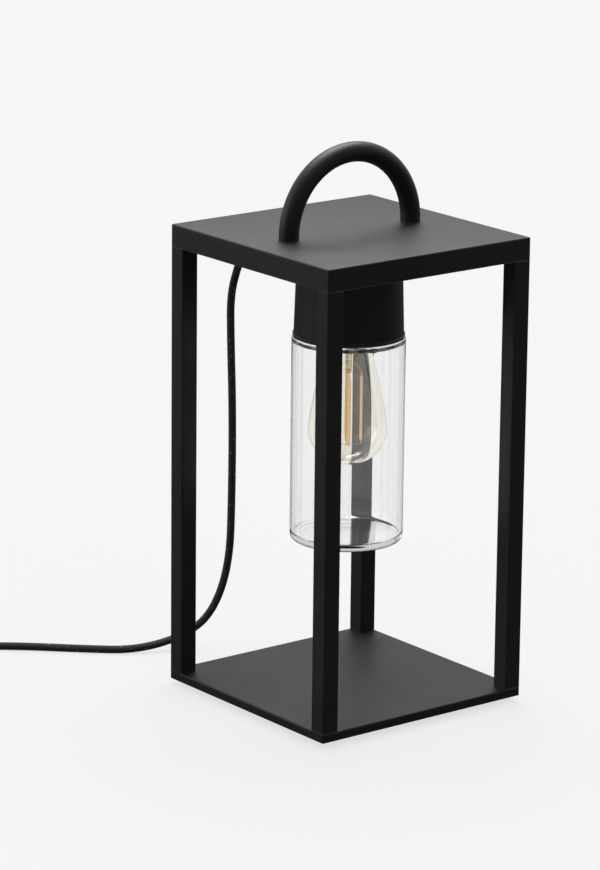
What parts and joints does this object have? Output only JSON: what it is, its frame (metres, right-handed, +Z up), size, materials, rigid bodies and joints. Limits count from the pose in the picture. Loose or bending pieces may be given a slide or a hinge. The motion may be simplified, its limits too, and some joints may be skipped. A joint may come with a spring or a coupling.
{
  "type": "lantern table lamp",
  "caption": "Open black metal lantern with square posts, ring handle, clear glass cylinder round a filament bulb hung from the top, and a black textile cord with switch and plug.",
  "frame": {"origin": "on the surface that the lamp stands on, under the middle of its square base", "axes": "+Z up along the lamp's axis; +X along the span of the handle; +Y towards the side where the cord leaves"},
  "size_m": [0.4687, 0.382, 0.45],
  "materials": {
    "black_powder_coat": "fine matte powder coat",
    "black_plate": "matte black painted sheet",
    "zinc_steel": "zinc plated",
    "black_rubber": "matte rubber",
    "black_plastic": "matte moulded plastic",
    "black_moulding": "fine spark-eroded texture",
    "white_plastic": "matte",
    "ceramic_block": "unglazed",
    "brass": "rolled sheet",
    "nickel_cap": "nickel plated",
    "clear_glass": "clear",
    "tinted_glass": "lightly gold tinted",
    "stem_glass": "clear",
    "filament_phosphor": "phosphor coated",
    "gold_wire": "thin wire",
    "black_braid": "black textile braid with small light flecks",
    "core_insulation": "brown and blue insulation"
  },
  "bodies": {
    "lamp": {"top_housing": "black_powder_coat", "front_left_post": "black_powder_coat", "front_right_post": "black_powder_coat", "back_left_post": "black_powder_coat", "back_right_post": "black_powder_coat", "base_pan": "black_powder_coat", "base_cover": "black_plate", "base_cover_screws": "zinc_steel", "front_foot_strip": "black_rubber", "back_foot_strip": "black_rubber", "cover_plate": "black_plate", "cover_plate_screws": "zinc_steel", "carry_handle": "black_powder_coat", "handle_screws": "zinc_steel", "shade_cup": "black_powder_coat", "shade_seal": "black_rubber", "lampholder_skirt": "black_plastic", "lampholder_dome": "black_plastic", "contact_block": "ceramic_block", "screw_shell": "brass", "centre_contact": "brass", "threaded_nipple": "zinc_steel", "nipple_nut": "zinc_steel", "nipple_washer": "zinc_steel", "strain_relief": "black_plastic", "inner_cord": "black_braid", "cord_clamp_base": "black_plastic", "cord_clamp_strap": "black_plastic", "cord_clamp_screws": "zinc_steel", "terminal_block": "white_plastic", "supply_cores": "core_insulation", "lamp_cores": "core_insulation", "power_cord": "black_braid", "middle_cord": "black_braid", "plug_cord": "black_braid", "cord_coil": "black_braid", "switch_lower_case": "black_moulding", "switch_upper_case": "black_moulding", "switch_screws": "zinc_steel", "switch_contacts": "brass", "plug_body": "black_moulding", "plug_pins": "nickel_cap"},
    "glass": {"glass_shade": "clear_glass"},
    "bulb": {"bulb_glass": "tinted_glass", "bulb_cap": "nickel_cap", "bulb_insulator": "black_plastic", "bulb_contact": "nickel_cap", "bulb_stem": "stem_glass", "bulb_filaments": "filament_phosphor", "filament_wires": "gold_wire"},
    "rocker": {"switch_rocker": "black_moulding"}
  },
  "joints": [
    {"name": "glass_lift_off", "type": "slide", "parent": "lamp", "child": "glass", "axis": [0, 0, -1], "range_m": [0, 0.115]},
    {"name": "bulb_lift_off", "type": "slide", "parent": "lamp", "child": "bulb", "axis": [0, 0, -1], "range_m": [0, 0.042]},
    {"name": "switch_rock", "type": "hinge", "parent": "lamp", "child": "rocker", "pos_m": [-0.265, 0.27, 0.014], "axis": [0, -1, 0], "range_deg": [0, 14]}
  ]
}
